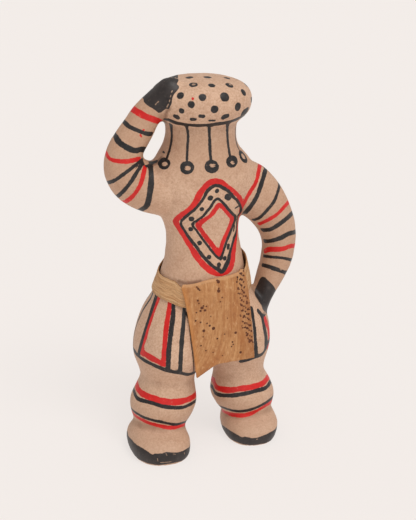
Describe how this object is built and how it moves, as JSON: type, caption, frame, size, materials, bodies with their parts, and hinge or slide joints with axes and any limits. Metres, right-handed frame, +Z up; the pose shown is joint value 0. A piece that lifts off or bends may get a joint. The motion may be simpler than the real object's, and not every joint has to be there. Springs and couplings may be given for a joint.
{
  "type": "ceramic doll",
  "caption": "Standing hand-modelled clay doll, one hand on its capped head and one on its hip, with a bast waistband and a bark-cloth apron.",
  "frame": {"origin": "on the surface that the soles stand on, under the middle of the bounding box", "axes": "+Z up; the doll faces -Y, and its left arm is at +X"},
  "size_m": [0.116, 0.0622, 0.2203],
  "materials": {
    "fired_clay": "matt fired clay, painted in black and red",
    "bast": "dry fibrous bast",
    "bark_cloth": "dry bark cloth with dark pores"
  },
  "bodies": {
    "root": {"figure": "fired_clay", "waist_band": "bast", "apron_flap": "bark_cloth"}
  },
  "joints": []
}
